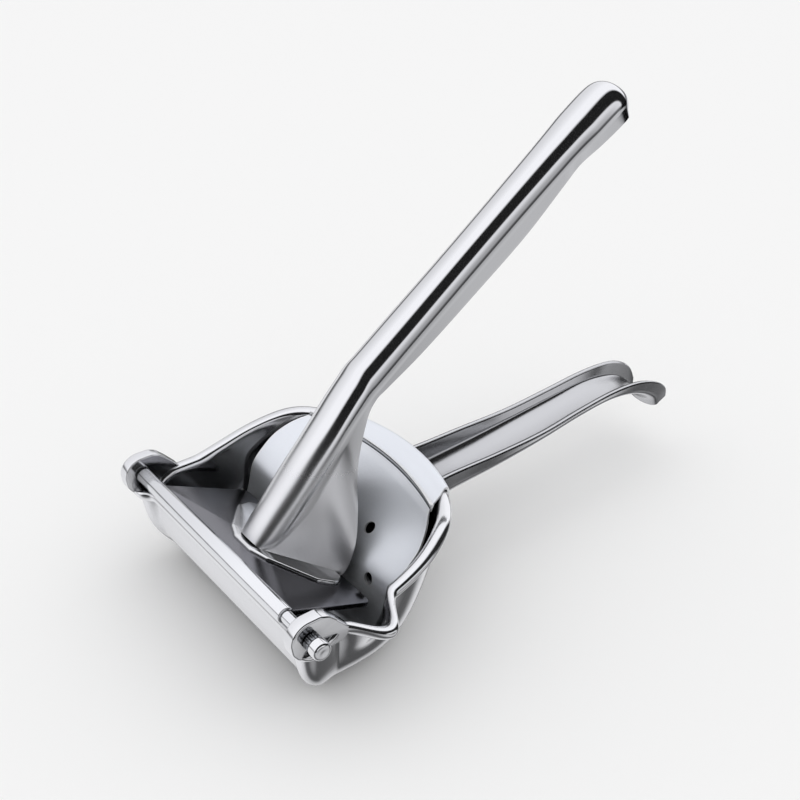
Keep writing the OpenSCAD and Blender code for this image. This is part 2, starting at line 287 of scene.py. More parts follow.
BLUE_TINT = 1.01


def grey_ramp(tree, value, stops):
    """Grey level, a trace blue, read from (position, level) stops."""
    ramp = add_node(tree, "ValToRGB", {"Fac": value})
    elements = ramp.color_ramp.elements
    while len(elements) < len(stops):
        elements.new(0.5)
    for element, (position, level) in zip(elements, stops):
        element.position = position
        element.color = (level, level, level * BLUE_TINT, 1)
    return ramp.outputs["Color"]


# ---------------------------------------------------------------- materials
# where the noise pattern starts, how much finer its fine grain is than the broad one, and
# how deep the two go at full strength
NOISE_START = (1.37, 2.71, 1.93)
FINE_GRAIN = 14
BROAD_DEPTH = 0.6 * MM
FINE_DEPTH = 0.03 * MM
FINE_SHARE = 0.5
# curvature at which an edge starts to look worn, and at which it is fully bright
WORN_EDGE = (0.52, 0.62)
WORN_GAIN = 1.15
WORN_LIFT = 0.04
# share of open sky at which a corner gets its full painted shade, and at which it gets none
SHADE_OPENING = (0.15, 0.8)
SHADE_REACH = 35 * MM


def polished(
    name, color, rough, unevenness, grain, stretch=(1, 1, 1), metal=1.0, corner_shade=0.35,
    satin_below=None,
):
    """Polished metal: roughness wanders over its range and the surface is a little uneven,
    edges are worn brighter, and hidden corners, gaps and undersides get painted shade from ambient
    occlusion.
    satin_below is the height where a dull foot starts to fade, the height where it ends,
    and its extra roughness."""
    material = bpy.data.materials.new(name)
    material.use_nodes = True
    tree = material.node_tree
    tree.nodes.clear()
    place = add_node(tree, "TexCoord").outputs["Object"]
    pattern = add_node(tree, "Mapping", {
        "Vector": place, "Scale": stretch, "Location": NOISE_START,
    }).outputs["Vector"]
    broad = add_node(tree, "TexNoise", {"Vector": pattern, "Scale": grain, "Detail": 3})
    fine = add_node(tree, "TexNoise", {
        "Vector": pattern, "Scale": grain * FINE_GRAIN, "Detail": 4,
    })

    roughness = map_range(tree, fine.outputs["Fac"], target=rough)
    if satin_below:
        low, high, extra = satin_below
        height = add_node(tree, "SeparateXYZ", {"Vector": place}).outputs["Z"]
        satin = map_range(tree, height, (low, high), (extra, 0), "SMOOTHSTEP")
        sum_node = add_node(tree, "Math", {0: roughness, 1: satin}, operation="ADD")
        roughness = sum_node.outputs["Value"]

    wear = map_range(tree, add_node(tree, "NewGeometry").outputs["Pointiness"], WORN_EDGE)
    worn = [min(1.0, channel * WORN_GAIN + WORN_LIFT) for channel in color]
    clean = mix_colors(tree, (*color, 1), (*worn, 1), wear)
    # painted shade: the base colour darkens where ambient occlusion finds corners, gaps and
    # undersides
    opening = add_node(tree, "AmbientOcclusion", {"Distance": SHADE_REACH}, samples=6)
    painted_shade = map_range(tree, opening.outputs["AO"], SHADE_OPENING, (corner_shade, 1.0))
    base_color = mix_colors(tree, clean, painted_shade, blend="MULTIPLY")

    waves = add_node(tree, "Bump", {
        "Strength": unevenness, "Distance": BROAD_DEPTH, "Height": broad.outputs["Fac"],
    })
    grains = add_node(tree, "Bump", {
        "Strength": unevenness * FINE_SHARE, "Distance": FINE_DEPTH, "Height": fine.outputs["Fac"],
        "Normal": waves.outputs["Normal"],
    })
    surface = add_node(tree, "BsdfPrincipled", {
        "Metallic": metal, "Roughness": roughness, "Base Color": base_color,
        "Normal": grains.outputs["Normal"],
    })
    add_node(tree, "OutputMaterial", {"Surface": surface.outputs["BSDF"]})
    return material


ALUMINIUM = (0.84, 0.845, 0.86)
CAST = polished(
    "cast_polish", ALUMINIUM, rough=(0.11, 0.17), unevenness=0.05, grain=55, corner_shade=0.16
)
ARM_METAL = polished(
    "arm_polish", ALUMINIUM, rough=(0.07, 0.11), unevenness=0.03, grain=55, corner_shade=0.4,
    satin_below=(50 * MM, 78 * MM, 0.2),
)
HANDLE_METAL = polished(
    "handle_polish", (0.62, 0.625, 0.64), rough=(0.16, 0.24), unevenness=0.04, grain=45
)
SHEET_METAL = polished(
    "sheet_polish", (0.88, 0.91, 0.96), rough=(0.30, 0.38), unevenness=0.04, grain=40,
    stretch=(1, 3, 1), metal=0.7, corner_shade=0.45,
)
# painted reflection: the plate's dark grey base colour stands in for the dark reflection it shows
PLATE_PAINTED_DARK = polished(
    "plate_painted_reflection", (0.24, 0.24, 0.26), rough=(0.16, 0.24), unevenness=0.03, grain=70,
    stretch=(3, 1, 1),
)
STEEL = polished(
    "pin_polish", (0.80, 0.81, 0.83), rough=(0.10, 0.18), unevenness=0.03, grain=120,
    stretch=(1, 6, 6),
)
# painted shade: the ring's dark base colour stands in for the shade in the pin's groove beside the
# ear
RING_METAL = polished(
    "ring_fluted", (0.30, 0.31, 0.33), rough=(0.15, 0.3), unevenness=0.1, grain=160
)


# ---------------------------------------------------------------- basin
# In plan, u is the depth: 0 at the rim and 1 at the base. Growing moves a ring outwards.
HALF_WIDTH = 54
SIDE_TAPER = 1.5
SIDE_ROUNDING = 12.5
FRONT_FACE = 1.5
FRONT_ROUNDING = 12.5
REACH = 79
REAR_TAPER = 19
REAR_START = 30
REAR_START_SHIFT = 4
# over 1, the points of the rear curve crowd towards its start
REAR_BUNCHING = 1.25
# power of the rear curve at the rim: 2 is an ellipse, and more is squarer
REAR_POWER = 2.6
REAR_POWER_LOSS = 0.4
CORNER = 4
WALL = 2.6
# height of the rim over the hinge axis as it runs back: (y, z)
RIM_LINE = [
    (0, -5.6), (4, -5.2), (7, -3.4), (10, -3), (24, -3), (36, 0),
    (50, 4.5), (60, 8), (65, 9), (90, 9),
]
# cross-section of the rounded rim: how far out, and how high
RIM_ROLL = [
    (0.5, -3.6), (1.5, -2.8), (2.15, -1.9), (2.45, -1.0), (2.4, -0.2), (1.9, 0.45),
    (1.1, 0.8), (0, 0.95), (-1, 0.85), (-1.9, 0.5), (-2.4, 0), (-2.6, -0.7),
]
OUTER_DEPTHS = [
    1, 0.985, 0.97, 0.95, 0.92, 0.88, 0.84, 0.79, 0.73, 0.66, 0.58, 0.5, 0.42, 0.34, 0.27,
    0.21, 0.16, 0.12,
]
INNER_DEPTHS = [
    0.06, 0.1, 0.15, 0.21, 0.28, 0.36, 0.45, 0.54, 0.63, 0.71, 0.78, 0.84, 0.88, 0.92,
    0.95, 0.975, 1,
]

# the pouring lip on the right side
LIP_REACH = 12.5
LIP_MIDDLE = 25.5
LIP_FRONT = 14
LIP_REAR = 10.5
LIP_DEPTH = 0.55
LIP_FADE = 1.4

# the solid pillar under each ear
PILLAR_REACH = 3.6
PILLAR_MIDDLE = 2
PILLAR_HALF = 12
PILLAR_DEPTH = 0.95
PILLAR_FORWARD = 3.4
FORWARD_START = 44
FORWARD_BLEND = 7
FORWARD_DEPTH = 0.9
PILLAR_FADE = 0.7


def lip_bump(y, u):
    """How far the pouring lip stands out: most at its rounded tip, 0 at both ends."""
    away = (y - LIP_MIDDLE) / (LIP_FRONT if y < LIP_MIDDLE else LIP_REAR)
    profile = math.cos(math.pi / 2 * clamp01(abs(away))) ** 2
    return LIP_REACH * profile * clamp01(1 - u / LIP_DEPTH) ** LIP_FADE


def pillar(y, u):
    """How far the pillar stands out from the side wall."""
    across = clamp01(1 - ((y - PILLAR_MIDDLE) / PILLAR_HALF) ** 2)
    return PILLAR_REACH * across * clamp01(1 - u / PILLAR_DEPTH) ** PILLAR_FADE


def forward(x, u):
    """How far the pillar stands forward of the front wall."""
    t = clamp01((x - FORWARD_START) / FORWARD_BLEND)
    return PILLAR_FORWARD * t * t * (3 - 2 * t) * clamp01(1 - u / FORWARD_DEPTH) ** PILLAR_FADE


def half_plan(u, grow, lip):
    """Half a plan ring, front middle to rear middle; lip is 1 on the side with the lip.
    The pillars stand on the outside only."""
    side = HALF_WIDTH - SIDE_TAPER * u - SIDE_ROUNDING * u**7 + grow
    front = FRONT_FACE + FRONT_ROUNDING * u**4 - grow
    rear = REACH - REAR_TAPER * u**1.5 + grow
    start = REAR_START - REAR_START_SHIFT * u
    power = 2 / (REAR_POWER - REAR_POWER_LOSS * u)
    outside = clamp01(1 + grow)
    corner_front = front - outside * forward(side, u)
    corner_end = corner_front + CORNER
    edge = side - CORNER + outside * pillar(corner_front, u)
    out = []
    # front wall, with more points where the pillar steps forward
    for t in np.concatenate([np.linspace(0, 0.8, 10), np.linspace(0.82, 0.985, 16)]):
        out.append((t * edge, front - outside * forward(t * edge, u)))
    # rounded corner, side wall, then the curve to the rear middle
    for a in np.linspace(0, math.pi / 2, 9):
        y = corner_end - CORNER * math.cos(a)
        out.append((side - CORNER + CORNER * math.sin(a) + outside * pillar(y, u), y))
    for y in np.linspace(corner_end, start, 61)[1:]:
        out.append((side + lip * lip_bump(y, u) + outside * pillar(y, u), y))
    for t in np.linspace(0, 1, 71)[1:-1]:
        a = math.pi / 2 * t**REAR_BUNCHING
        y = start + (rear - start) * math.sin(a) ** power
        out.append((side * math.cos(a) ** power + lip * lip_bump(y, u), y))
    return out + [(0.0, rear)]


def full_plan(u, grow):
    """Whole ring in plan: the right half carries the lip, the left half is plain."""
    return half_plan(u, grow, 1) + [(-x, y) for x, y in half_plan(u, grow, 0)[-2:0:-1]]


RIM_HEIGHTS = [rounded_lookup(y, RIM_LINE) for _, y in full_plan(0, 0)]


def basin_ring(u, grow, floor_z, lift=0):
    """One ring of the wall, between the rim line and the floor; lift raises it."""
    return [
        (x, y, rim + (floor_z - rim) * u + lift)
        for (x, y), rim in zip(full_plan(u, grow), RIM_HEIGHTS)
    ]


def build_basin():
    base_z = -HINGE_HEIGHT
    rings = [basin_ring(u, 0, base_z) for u in OUTER_DEPTHS]
    rings += [basin_ring(0, out, base_z, up) for out, up in RIM_ROLL]
    rings += [basin_ring(u, -WALL, base_z + WALL) for u in INNER_DEPTHS]
    make_piece("basin", stack(rings), "body", "lower_body", CAST, 60)


# ---------------------------------------------------------------- ears
EAR_OUTER = -PIN_FROM
EAR_THICKNESS = 5
EAR_RADIUS = 7
EAR_INNER_EDGE = 0.5
EAR_OUTER_EDGE = 0.9
EAR_FILLET = 4
# underside and back of an ear, from its front round to its top: (y, z)
EAR_UNDERSIDE = [
    (-EAR_RADIUS, 0), (-6.4, -4), (-4, -7.5), (13, -7.5), (15.5, -5), (15.5, -2.5),
    (10.5, 3), (7.5, 5.8), (4.6, EAR_RADIUS), (0, EAR_RADIUS),
]
PIN_RADIUS = 2.2
BORE_RADIUS = 2.24


def ear_outline():
    """Round front over the pin, then the filleted underside without its two end corners."""
    front = [
        (EAR_RADIUS * math.cos(a), EAR_RADIUS * math.sin(a))
        for a in np.linspace(math.pi / 2, math.pi, 24)
    ]
    steps = 6
    under = fillet(EAR_UNDERSIDE, EAR_FILLET, steps)[steps + 1:-steps - 1]
    return np.array(front + [tuple(point) for point in under])


def build_ear(name, sign):
    shape = rounded_prism(
        ear_outline(), EAR_OUTER - EAR_THICKNESS, EAR_OUTER, EAR_INNER_EDGE, EAR_OUTER_EDGE,
        lambda y, z, h: (sign * h, y, z),
    )
    ear = make_piece(name, shape, "body", "lower_body", CAST, 40)
    past_ears = 1.2 * EAR_OUTER
    drill(ear, turned_x([(-past_ears, BORE_RADIUS), (past_ears, BORE_RADIUS)]))


# ---------------------------------------------------------------- channel handles
# A key row is [crown y, crown z, edge y, edge z, crown half width, edge half width, crown
# depth]: the crown is the closed side of the channel and the edges are its open side.
ARC_STEPS = 20
LEG_STEPS = 8
HANDLE_STEPS = 150
ARM_STEPS = 220
ARM_WALL = 2.2
# share of its radius by which the round-over of an edge is drawn back
EDGE_SINK = 0.6
HANDLE_KEYS = [
    [58.5, -26, 70, -3, 23, 26, 10],
    [65, -22.6, 74, -3.2, 17.5, 20, 9],
    [76, -19.5, 80, -3.3, 14.5, 16, 8],
    [92, -15.8, 93, -3.3, 12, 12.8, 7],
    [HANDLE_TIP - 98, -13.4, HANDLE_TIP - 98, -3.6, 11.4, 12.6, 6],
    [HANDLE_TIP - 74, -10.6, HANDLE_TIP - 74, -3.4, 10.8, 12, 5],
    [HANDLE_TIP - 52, -7.6, HANDLE_TIP - 52, -1.2, 10, 11.2, 4.5],
    [HANDLE_TIP - 36, -5.8, HANDLE_TIP - 34, 0.4, 9.8, 11, 4],
    [HANDLE_TIP - 24, -6.8, HANDLE_TIP - 20, 0, 9.8, 11.2, 4],
    [HANDLE_TIP - 14.5, -9.8, HANDLE_TIP - 10, -2.4, 10, 11.8, 3.8],
    [HANDLE_TIP - 7, -14.6, HANDLE_TIP - 2.5, -7, 9.8, 11.8, 3.6],
    [HANDLE_TIP - 3.4, -19.6, HANDLE_TIP, -12.8, 9, 10.8, 3.4],
]
ARM_KEYS = [
    [12.5, -2.2, 15, -5.4, 6.5, 7.6, 3],
    [16, 2.2, 21, -8.2, 8.2, 12, 6],
    [23, 10.2, 28.5, -11.6, 9, 17.5, 8],
    [32, 20.6, 36, -15, 9.4, 23.3, 9],
    [37.5, 26.8, 41.4, -5.5, 9.4, 24, 9],
    [43, 33, 45.6, 4, 9.4, 20.4, 9],
    [49, 40, 51.2, 19.2, 9.3, 12.8, 8.5],
    [55, 46.7, 57.3, 34.9, 9.2, 9.8, 8],
    [58.8, 50.9, 61.4, 41.6, 9.2, 9.5, 8],
    [63, 54.1, 66.6, 45, 9.1, 9.5, 8],
    [76, 63.8, 82, 54.4, 8.9, 9.6, 7.5],
    [98, 80.2, 105.1, 69.9, 8.6, 9.2, 7.5],
    [120, 96.8, 127.5, 86.1, 8.6, 9.2, 7.5],
    [139, 111.2, 145.2, 101.8, 8.9, 9.3, 7.5],
    [147.5, 117.6, 152.4, 107.8, 9.2, 9.2, 7.5],
    [156, 124, 162.3, 113.9, 9.8, 10.2, 8],
    [168, 131.6, 173.2, 120.4, 9.4, 10.1, 8],
    [175, 130.6, 177, 121.4, 7.2, 6.6, 6],
    [178.6, 126, 178.8, 123.4, 4, 3.6, 2],
]


def channel_half(key, skin):
    """Right half of one section, crown to edge; skin is how far inside the outer face."""
    crown_y, crown_z, edge_y, edge_z, crown_half, edge_half, depth = key
    side = math.hypot(edge_y - crown_y, edge_z - crown_z)
    down_y, down_z = (edge_y - crown_y) / side, (edge_z - crown_z) / side
    w = crown_half - skin
    # the crown's arc stays within the section, and never goes quite flat
    deep = max(0.3, min(depth, side * 0.9) - skin)
    section = []
    for a in np.linspace(0, math.pi / 2, ARC_STEPS + 1):
        section.append((w * math.sin(a), skin + deep * (1 - math.cos(a))))
    for f in np.linspace(0, 1, LEG_STEPS + 1)[1:]:
        section.append((w + (edge_half - skin - w) * f, (skin + deep) * (1 - f) + side * f))
    return [(x, crown_y + down_y * h, crown_z + down_z * h) for x, h in section]


def rounded_edge(outer, inner, sign):
    """Round-over that joins the outer and inner skins at one edge of the channel."""
    last, before, inside = np.array(outer[-1]), np.array(outer[-2]), np.array(inner[-1])
    down = (last - before) / np.linalg.norm(last - before)
    radius = np.linalg.norm(last - inside) / 2
    out = []
    for a in np.linspace(0, math.pi, 7)[1:-1]:
        p = (last + inside) / 2 + (last - inside) / 2 * math.cos(a)
        p += down * radius * (math.sin(a) - EDGE_SINK)
        out.append((sign * p[0], p[1], p[2]))
    return out


def channel_ring(key, wall):
    """Whole section: the outer skin from right edge to left, then back along the inner."""
    outer, inner = channel_half(key, 0), channel_half(key, wall)
    ring = outer[::-1] + [(-x, y, z) for x, y, z in outer[1:]]
    ring += rounded_edge(outer, inner, -1)
    ring += [(-x, y, z) for x, y, z in inner[:0:-1]] + inner
    ring += rounded_edge(outer, inner, 1)[::-1]
    return ring


def channel(keys, wall, steps):
    """Closed channel along its key rows, with both ends capped."""
    last = len(keys) - 1
    rings = [channel_ring(curve_through(keys, last * i / steps), wall) for i in range(steps + 1)]
    n = len(rings[0])
    skin_n = 2 * (ARC_STEPS + LEG_STEPS) + 1
    edge_n = n // 2 - skin_n
    verts = [point for ring in rings for point in ring]
    faces = ring_faces(len(rings), n)
    for base in (0, (len(rings) - 1) * n):
        inner_end = base + 2 * skin_n + edge_n - 1
        faces += [
            (base + j, base + j + 1, inner_end - 1 - j, inner_end - j) for j in range(skin_n - 1)
        ]
        faces.append(tuple(range(base + skin_n - 1, base + skin_n + edge_n + 1)))
        faces.append((*range(inner_end, inner_end + edge_n + 1), base))
    return verts, faces


def build_handles():
    lower = channel(HANDLE_KEYS, WALL, HANDLE_STEPS)
    make_piece("lower_handle", lower, "body", "lower_body", HANDLE_METAL, 50)
    arm = channel(ARM_KEYS, ARM_WALL, ARM_STEPS)
    make_piece("press_handle", arm, "press", "press_arm", ARM_METAL, 50)


# ---------------------------------------------------------------- strainer
# A key row is [y, z, half width, bulge back at the middle, raised side edge].
SHEET = 1.0
STRAINER_KEYS = [
    [7.5, -11, 44.5, 0, 2],
    [13, -15.6, 45.2, 0, 2],
    [20, -21.5, 45.5, 0, 2],
    [26.5, -26.9, 44.6, 0, 2],
    [31, -29.4, 44, 0, 2],
    [36, -27.6, 44, 0, 2],
    [40, -19.5, 45.2, 0.6, 1.8],
    [42.8, -10, 45.8, 1.4, 1.5],
    [47.6, -4, 45.8, 2.4, 1.2],
    [53.2, 1.2, 45.2, 3.6, 0.8],
    [58.8, 6.4, 42, 5, 0.3],
    [63.6, 10.4, 37.6, 6.4, 0],
    [66.4, 11, 36.4, 6.8, 0],
    [71, 11, 34.2, 6.6, 0],
    [75.6, 11, 31.6, 6.2, 0],
    [77.6, 10, 31.6, 6.2, 0],
    [77.9, 5.4, 31.6, 6.2, 0],
]
STEPS_PER_KEY = 5
# key row at which the slope folds over into the flange, and the height of the flange
CREASE = 11
FLANGE_Z = 11.0

FLOOR_ANGLE = 39.6
FLOOR_LINES = 4
FLOOR_COLUMNS = 5
COLUMN_PITCH = 7
LINE_PITCH = 7.2
FIRST_LINE = 14
# where the middle of each cutter lies, square to the floor's slope
FLOOR_DEPTH = -2.0
HOLE_RADIUS = 2.0
SLOPE_HOLE_RADIUS = 2.3
# drain holes on the rear slope: (x, y, z, slope)
SLOPE_HOLES = [(20, 51, -2.5, 42.9), (31.5, 42.1, -14, 73.6)]
CUTTER_LENGTH = 10
CUTTER_SIDES = 40


def moved(key, y=0.0, z=None):
    """Copy of a key row moved along Y, and set to a height if one is given."""
    out = key.copy()
    out[0] += y
    if z is not None:
        out[1] = z
    return out


def crease_rows():
    """The fold between slope and flange: a step with a fine groove under its lip."""
    slope = curve_through(STRAINER_KEYS, CREASE - 0.4)
    lip = moved(curve_through(STRAINER_KEYS, CREASE + 0.3), z=FLANGE_Z)
    fold = moved(slope + (lip - slope) * 0.8, z=slope[1] + 1.2)
    groove = moved(fold, 0.5, fold[1] - 0.9)
    edge = moved(fold, 0.55, FLANGE_Z - 0.4)
    shoulder = moved(edge, 0.4, FLANGE_Z - 0.05)
    return [slope, fold, groove, edge, shoulder, lip]


def strainer_sheet():
    count = (len(STRAINER_KEYS) - 1) * STEPS_PER_KEY + 1
    rows = [curve_through(STRAINER_KEYS, i / STEPS_PER_KEY) for i in range(count)]
    fold = CREASE * STEPS_PER_KEY
    rows = rows[: fold - 2] + crease_rows() + rows[fold + 2:]
    across = np.concatenate([
        np.linspace(-1, -0.9, 7)[:-1], np.linspace(-0.9, 0.9, 41), np.linspace(0.9, 1, 7)[1:],
    ])
    rings = []
    for i, (y, z, half, bulge, raised) in enumerate(rows):
        before, after = rows[max(0, i - 1)], rows[min(len(rows) - 1, i + 1)]
        along_y, along_z = after[0] - before[0], after[1] - before[1]
        length = math.hypot(along_y, along_z)
        ring = []
        for depth, places in ((0, across), (SHEET, across[::-1])):
            for s in places:
                ring.append((
                    s * half,
                    y + bulge * (1 - s * s) + along_z / length * depth,
                    z + raised * s**8 - along_y / length * depth,
                ))
        rings.append(ring)
    return stack(rings, strip_ends=True)


def hole_places():
    """Drain holes, (x, y, z, slope, radius): a staggered field in the floor and two pairs
    on the rear slope."""
    places = []
    a = math.radians(-FLOOR_ANGLE)
    for line in range(FLOOR_LINES):
        v = FIRST_LINE + line * LINE_PITCH
        y = v * math.cos(a) - FLOOR_DEPTH * math.sin(a)
        z = v * math.sin(a) + FLOOR_DEPTH * math.cos(a)
        for column in range(-FLOOR_COLUMNS, FLOOR_COLUMNS + 1):
            if (column + FLOOR_COLUMNS + line) % 2 == 0:
                places.append((column * COLUMN_PITCH, y, z, -FLOOR_ANGLE, HOLE_RADIUS))
    for x, y, z, slope in SLOPE_HOLES:
        places += [(side * x, y, z, slope, SLOPE_HOLE_RADIUS) for side in (1, -1)]
    return places


def hole_cutters():
    """One mesh of round rods, a rod through each hole, square to the sheet."""
    verts, faces = [], []
    n = CUTTER_SIDES
    for x, y, z, slope, radius in hole_places():
        a = math.radians(slope)
        axis = np.array([0, -math.sin(a), math.cos(a)])
        side = np.array([0, math.cos(a), math.sin(a)])
        start = len(verts)
        for end in (-CUTTER_LENGTH / 2, CUTTER_LENGTH / 2):
            middle = np.array([x, y, z]) + axis * end
            for t in np.linspace(0, 2 * math.pi, n + 1)[:-1]:
                around = np.array([radius * math.cos(t), 0, 0]) + side * radius * math.sin(t)
                verts.append(middle + around)
        faces += [
            (start + k, start + (k + 1) % n, start + n + (k + 1) % n, start + n + k)
            for k in range(n)
        ]
        faces.append(tuple(range(start, start + n))[::-1])
        faces.append(tuple(range(start + n, start + 2 * n)))
    return verts, faces


def build_strainer():
    sheet = make_piece(
        "strainer_sheet", strainer_sheet(), "body", "strainer", SHEET_METAL, 50
    )
    drill(sheet, hole_cutters())


# ---------------------------------------------------------------- plate, pad and rivets
PLATE_SLOPE = math.radians(24.4)
# height of the plate's faces over its middle
PLATE_TOP = 1.0
PLATE_LENGTH = 40
PLATE_HALF = 43
PLATE_FAR_HALF = 40.6
PLATE_CORNER = 3.2
PLATE_EDGE = 0.35
BORE_COVER = 0.3
BARREL_RADIUS = 3.0
BARREL_EDGE = 0.4
PAD_THICKNESS = 1.2
PAD_SUNK = 0.2
PAD_LOW_EDGE = 0.05
PAD_HIGH_EDGE = 1.0
PAD_CORNER = 3
# right half of the flat pad that follows the flared foot: (x, down the plate)
PAD_HALF = [(5, 10.4), (12, 13.6), (27, 26), (29.4, 33), (25.6, 37.6)]
# thickness of the arm's foot under the rivet heads
ARM_FLOOR = 1.4
RIVET_PLACES = [(-5, 23), (5, 23), (-9, 31), (9, 31)]
RIVET_SIDES = 32


def on_plate(x, v, w):
    """Plate frame to hinge frame: v runs down the plate, w stands on it."""
    c, s = math.cos(PLATE_SLOPE), math.sin(PLATE_SLOPE)
    return (x, v * c + w * s, -v * s + w * c)


def build_plate():
    outline = fillet([
        (-PLATE_HALF, 0), (PLATE_HALF, 0),
        (PLATE_FAR_HALF, PLATE_LENGTH), (-PLATE_FAR_HALF, PLATE_LENGTH),
    ], PLATE_CORNER)
    # the sheet ends inside the barrel's wall, short of the bore
    outline[:, 1] = np.maximum(outline[:, 1], BORE_RADIUS + BORE_COVER)
    shape = rounded_prism(outline, -PLATE_TOP, PLATE_TOP, PLATE_EDGE, PLATE_EDGE, on_plate)
    make_piece("plate", shape, "press", "press_plate", PLATE_PAINTED_DARK, 40)


def build_barrel():
    outer, edge = BARREL_RADIUS, BARREL_EDGE
    loop = [
        (BARREL_FROM, outer - edge), (BARREL_FROM + 0.3 * edge, outer - 0.3 * edge),
        (BARREL_FROM + edge, outer), (BARREL_TO - edge, outer),
        (BARREL_TO - 0.3 * edge, outer - 0.3 * edge), (BARREL_TO, outer - edge),
        (BARREL_TO, BORE_RADIUS), (BARREL_FROM, BORE_RADIUS),
    ]
    make_piece("barrel", tube_x(loop), "press", "press_plate", STEEL, 50)


def build_pad():
    left_half = [(-x, v) for x, v in PAD_HALF]
    outline = fillet([left_half[0]] + PAD_HALF + left_half[:0:-1], PAD_CORNER)
    shape = rounded_prism(
        outline, PLATE_TOP - PAD_SUNK, PLATE_TOP + PAD_THICKNESS, PAD_LOW_EDGE, PAD_HIGH_EDGE,
        on_plate,
    )
    make_piece("pad", shape, "press", "foot_pad", CAST, 60)


def build_rivets():
    top = PLATE_TOP + PAD_THICKNESS + ARM_FLOOR
    # (height over the plate's middle, radius), from the low tail up to the domed head
    profile = [
        (-PLATE_TOP - 0.25, 1.1), (-PLATE_TOP - 0.05, 1.5), (top, 1.5), (top + 0.02, 2.4),
        (top + 0.3, 2.35), (top + 0.7, 1.9), (top + 1.0, 1.1),
    ]
    for index, (x, v) in enumerate(RIVET_PLACES):
        rings = [
            [
                on_plate(x + r * math.cos(a), v + r * math.sin(a), w)
                for a in np.linspace(0, 2 * math.pi, RIVET_SIDES + 1)[:-1]
            ]
            for w, r in profile
        ]
        name = f"rivet_{index}"
        make_piece(name, stack(rings), "press", "foot_rivets", STEEL, 40)


# ---------------------------------------------------------------- pin, ring and cap
FLUTE_COUNT = 12
FLUTE_DEPTH = 0.45
FLUTED_SEGMENTS = 192
PIN_TAPER = 0.5
RING_RADIUS = 3.2
RING_EDGE = 0.3
CAP_RADIUS = 3.4
CAP_ROUND = 1.4


def build_pin():
    shape = turned_x([
        (PIN_FROM, PIN_RADIUS - PIN_TAPER), (PIN_FROM + 0.3 * PIN_TAPER, PIN_RADIUS - 0.15),
        (PIN_FROM + PIN_TAPER, PIN_RADIUS),
        (-20, PIN_RADIUS), (20, PIN_RADIUS), (PIN_TO, PIN_RADIUS),
    ])
    make_piece("pin", shape, "pin", "hinge_pin", STEEL, 50)


def build_ring():
    shape = tube_x([
        (RING_FROM, RING_RADIUS - RING_EDGE), (RING_FROM + 0.25, RING_RADIUS),
        (RING_TO - 0.35, RING_RADIUS), (RING_TO - 0.1, RING_RADIUS - RING_EDGE),
        (RING_TO - 0.1, PIN_RADIUS), (RING_FROM, PIN_RADIUS),
    ], FLUTED_SEGMENTS, fluted=True)
    make_piece("fluted_ring", shape, "pin", "pin_ring", RING_METAL, 50)


def build_cap():
    round_from = CAP_TO - CAP_ROUND
    profile = [(RING_TO - 0.05, 3.0), (RING_TO + 0.15, CAP_RADIUS), (round_from, CAP_RADIUS)]
    for a in np.linspace(0, math.pi / 2, 8)[1:]:
        profile.append((
            round_from + CAP_ROUND * math.sin(a), CAP_RADIUS - CAP_ROUND * (1 - math.cos(a)),
        ))
    profile += [(CAP_TO, 1.2), (CAP_TO - 0.15, 0.6)]
    make_piece("cap", turned_x(profile), "pin", "pin_cap", CAST, 50)


# ---------------------------------------------------------------- camera
AZIMUTH = math.radians(51.8)
ELEVATION = math.radians(32.0)
ROLL = math.radians(1.2)
# metres from the camera to the point it aims at
DISTANCE = 0.4404
AIM = row([11.2, 70.6, 39.3])
# focal length in picture widths
FOCAL_PER_WIDTH = 1.565
SENSOR_WIDTH = 36


def camera_axes():
    """Directions of the camera: right, up, and back toward the viewer."""
    back = np.array([
        math.sin(AZIMUTH) * math.cos(ELEVATION),
        -math.cos(AZIMUTH) * math.cos(ELEVATION),
        math.sin(ELEVATION),
    ])
    level = np.array([math.cos(AZIMUTH), math.sin(AZIMUTH), 0.0])
    upright = np.cross(back, level)
    return (
        level * math.cos(ROLL) + upright * math.sin(ROLL),
        upright * math.cos(ROLL) - level * math.sin(ROLL),
        back,
    )


CAMERA_RIGHT, CAMERA_UP, CAMERA_BACK = camera_axes()


def build_camera():
    data = bpy.data.cameras.new("camera")
    data.sensor_fit = "HORIZONTAL"
    data.sensor_width = SENSOR_WIDTH
    data.lens = FOCAL_PER_WIDTH * SENSOR_WIDTH
    camera = bpy.data.objects.new("camera", data)
    bpy.context.scene.collection.objects.link(camera)
    columns = (CAMERA_RIGHT, CAMERA_UP, CAMERA_BACK, AIM + CAMERA_BACK * DISTANCE)
    camera.matrix_world = Matrix([[*axis_row] for axis_row in zip(*columns)] + [[0, 0, 0, 1]])
    bpy.context.scene.camera = camera


# ---------------------------------------------------------------- stage
# Levels that the polished metal sees, (position, level). Across from far left (0) to far
# right (1): a white wall, a black gap, a grey wall.
STUDIO_SIDEWAYS = [
    (0.0, 0.7), (0.25, 1.0), (0.46, 1.0), (0.50, 0.6), (0.53, 0.01), (0.84, 0.01),
    (0.87, 0.8), (0.92, 0.7), (0.97, 0.4), (1.0, 0.3),
]
# from straight down (0) to straight up (1), with a dark line round the horizon
STUDIO_HEIGHT = [(0.0, 0.8), (0.44, 0.7), (0.475, 0.16), (0.53, 0.16), (0.60, 1.0), (1.0, 1.0)]
# the floor, across from far left (0) to far right (1)
FLOOR_IN_MIRRORS = [
    (0.0, 0.8), (0.3, 0.88), (0.45, 0.7), (0.56, 0.12), (0.66, 0.1), (0.76, 0.4),
    (0.86, 0.6), (0.95, 0.45), (1.0, 0.35),
]
# share of a level that a mirror sees, from looking straight back at the camera (0) to
# looking the way the camera looks (1)
BLACK_CARD = [(0.0, 1.0), (0.955, 1.0), (0.985, 0.25), (1.0, 0.12)]
# metres
FLOOR_RADIUS = 1.6
FLOOR_SIDES = 96
FLOOR_Z = -0.5 * MM
MIRROR_STRENGTH = 1.05


